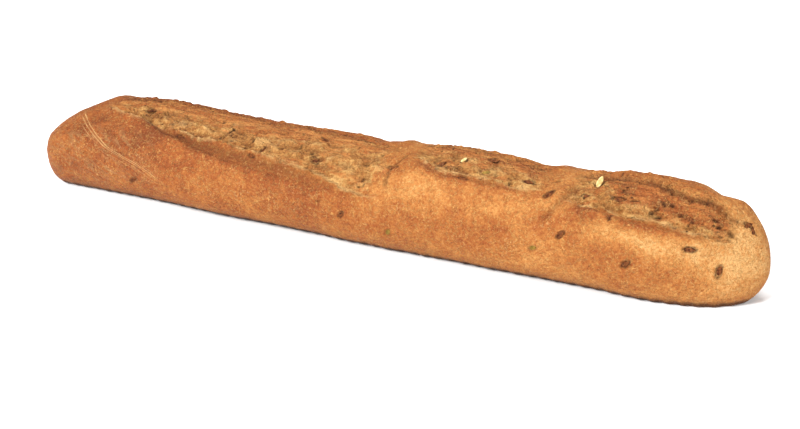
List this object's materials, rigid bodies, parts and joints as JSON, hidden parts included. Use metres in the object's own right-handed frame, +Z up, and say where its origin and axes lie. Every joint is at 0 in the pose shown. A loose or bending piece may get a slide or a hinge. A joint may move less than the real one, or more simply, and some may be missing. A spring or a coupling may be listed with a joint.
{
  "type": "baguette",
  "caption": "Whole hand-scored seeded baguette with a flat base, slanted opened scores on the crown and rounded ends.",
  "frame": {"origin": "centre of the bounding box on the tray the loaf stands on", "axes": "+X along the loaf towards the tapered end, -Y the front, +Z up"},
  "size_m": [0.38, 0.0722, 0.0497],
  "materials": {
    "crust": "matt baked crust, golden to reddish brown",
    "flax_seed": "smooth brown seed",
    "sunflower_kernel": "smooth cream kernel",
    "pumpkin_seed": "satin green seed"
  },
  "bodies": {
    "root": {"loaf": "crust"}
  },
  "joints": []
}
